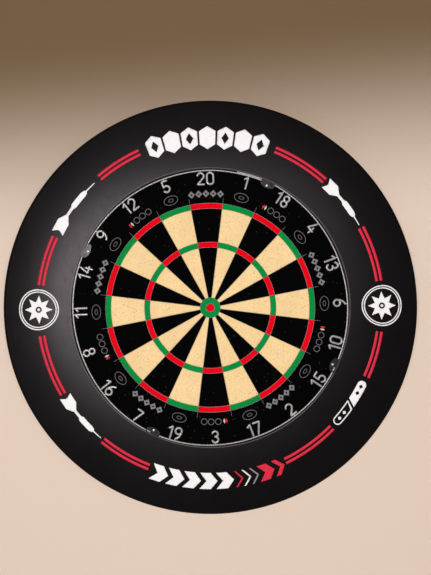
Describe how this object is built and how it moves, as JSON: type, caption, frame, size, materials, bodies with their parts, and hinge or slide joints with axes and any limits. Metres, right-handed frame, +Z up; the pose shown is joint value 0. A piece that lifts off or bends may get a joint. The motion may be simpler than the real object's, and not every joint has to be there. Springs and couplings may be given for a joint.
{
  "type": "dart board with surround",
  "caption": "Round bristle dart board with wire-divided beds, a wire number ring, turn-button clips, a wide moulded surround and a slotted wall bracket.",
  "frame": {"origin": "on the wall plane at the board's axis, the middle of the wall bracket's four screw holes", "axes": "+X to the player's right, +Y into the wall, +Z up; the face looks along -Y"},
  "size_m": [0.6849, 0.0571, 0.685],
  "materials": {
    "bracket_steel": "satin",
    "zinc_steel": "satin",
    "black_nylon": "matte",
    "red_nylon": "satin",
    "particle_board": "matte",
    "sisal": "matte",
    "sisal_black": "matte",
    "sisal_natural": "matte",
    "sisal_red": "matte",
    "sisal_green": "matte",
    "blade_steel": "satin",
    "band_steel": "satin",
    "ring_wire": "satin",
    "clip_plastic": "satin",
    "surround_foam": "satin"
  },
  "bodies": {
    "wall_mount": {"wall_bracket": "bracket_steel"},
    "hanger": {"hanging_bush": "black_nylon"},
    "board": {"centre_screw": "zinc_steel", "backing_board": "particle_board", "sisal_core": "sisal", "beds_black": "sisal_black", "beds_natural": "sisal_natural", "beds_red": "sisal_red", "beds_green": "sisal_green", "number_field": "sisal_black", "radial_blades": "blade_steel", "double_outer_strip": "blade_steel", "double_inner_strip": "blade_steel", "treble_outer_strip": "blade_steel", "treble_inner_strip": "blade_steel", "outer_bull_strip": "blade_steel", "inner_bull_strip": "blade_steel", "steel_band": "band_steel", "leveller_screws": "zinc_steel", "clip_pins": "zinc_steel", "leveller_housing_1": "black_nylon", "leveller_housing_2": "black_nylon", "leveller_housing_3": "black_nylon"},
    "number_ring": {"number_ring_wire": "ring_wire", "number_20": "ring_wire", "number_1": "ring_wire", "number_18": "ring_wire", "number_4": "ring_wire", "number_13": "ring_wire", "number_6": "ring_wire", "number_10": "ring_wire", "number_15": "ring_wire", "number_2": "ring_wire", "number_17": "ring_wire", "number_3": "ring_wire", "number_19": "ring_wire", "number_7": "ring_wire", "number_16": "ring_wire", "number_8": "ring_wire", "number_11": "ring_wire", "number_14": "ring_wire", "number_9": "ring_wire", "number_12": "ring_wire", "number_5": "ring_wire"},
    "surround": {"surround": "surround_foam"},
    "clip_1": {"ring_clip_1": "clip_plastic"},
    "clip_2": {"ring_clip_2": "clip_plastic"},
    "clip_3": {"ring_clip_3": "clip_plastic"},
    "clip_4": {"ring_clip_4": "clip_plastic"},
    "leveller_wheel_1": {"leveller_wheel_1": "red_nylon"},
    "leveller_foot_1": {"leveller_foot_1": "black_nylon"},
    "leveller_wheel_2": {"leveller_wheel_2": "red_nylon"},
    "leveller_foot_2": {"leveller_foot_2": "black_nylon"},
    "leveller_wheel_3": {"leveller_wheel_3": "red_nylon"},
    "leveller_foot_3": {"leveller_foot_3": "black_nylon"}
  },
  "joints": [
    {"name": "board_lift", "type": "slide", "parent": "wall_mount", "child": "hanger", "axis": [0, 0, 1], "range_m": [0, 0.043]},
    {"name": "board_turn", "type": "hinge", "parent": "hanger", "child": "board", "pos_m": [0, 0, 0], "axis": [0, -1, 0], "continuous": true},
    {"name": "number_ring_nudge", "type": "hinge", "parent": "board", "child": "number_ring", "pos_m": [0, 0, 0], "axis": [0, -1, 0], "range_deg": [-1.5, 1.5]},
    {"name": "surround_pull", "type": "slide", "parent": "board", "child": "surround", "axis": [0, -1, 0], "range_m": [0, 0.045]},
    {"name": "clip_1_turn", "type": "hinge", "parent": "board", "child": "clip_1", "pos_m": [0.09842, -0.055, 0.19317], "axis": [0, -1, 0], "range_deg": [0, 180]},
    {"name": "clip_2_turn", "type": "hinge", "parent": "board", "child": "clip_2", "pos_m": [0.19317, -0.055, -0.09842], "axis": [0, -1, 0], "range_deg": [0, 180]},
    {"name": "clip_3_turn", "type": "hinge", "parent": "board", "child": "clip_3", "pos_m": [-0.09842, -0.055, -0.19317], "axis": [0, -1, 0], "range_deg": [0, 180]},
    {"name": "clip_4_turn", "type": "hinge", "parent": "board", "child": "clip_4", "pos_m": [-0.19317, -0.055, 0.09842], "axis": [0, -1, 0], "range_deg": [0, 180]},
    {"name": "leveller_1_turn", "type": "hinge", "parent": "board", "child": "leveller_wheel_1", "pos_m": [0.1299, -0.0086, 0.075], "axis": [0, -1, 0], "range_deg": [0, 540]},
    {"name": "leveller_1_foot", "type": "slide", "parent": "board", "child": "leveller_foot_1", "axis": [0, -1, 0], "range_m": [0, 0.00301]},
    {"name": "leveller_2_turn", "type": "hinge", "parent": "board", "child": "leveller_wheel_2", "pos_m": [0, -0.0086, -0.15], "axis": [0, -1, 0], "range_deg": [0, 540]},
    {"name": "leveller_2_foot", "type": "slide", "parent": "board", "child": "leveller_foot_2", "axis": [0, -1, 0], "range_m": [0, 0.00301]},
    {"name": "leveller_3_turn", "type": "hinge", "parent": "board", "child": "leveller_wheel_3", "pos_m": [-0.1299, -0.0086, 0.075], "axis": [0, -1, 0], "range_deg": [0, 540]},
    {"name": "leveller_3_foot", "type": "slide", "parent": "board", "child": "leveller_foot_3", "axis": [0, -1, 0], "range_m": [0, 0.00301]}
  ],
  "couplings": [
    {"joint": "leveller_1_foot", "follows": "leveller_1_turn", "m_per_rad": 0.00031831},
    {"joint": "leveller_2_foot", "follows": "leveller_2_turn", "m_per_rad": 0.00031831},
    {"joint": "leveller_3_foot", "follows": "leveller_3_turn", "m_per_rad": 0.00031831}
  ]
}
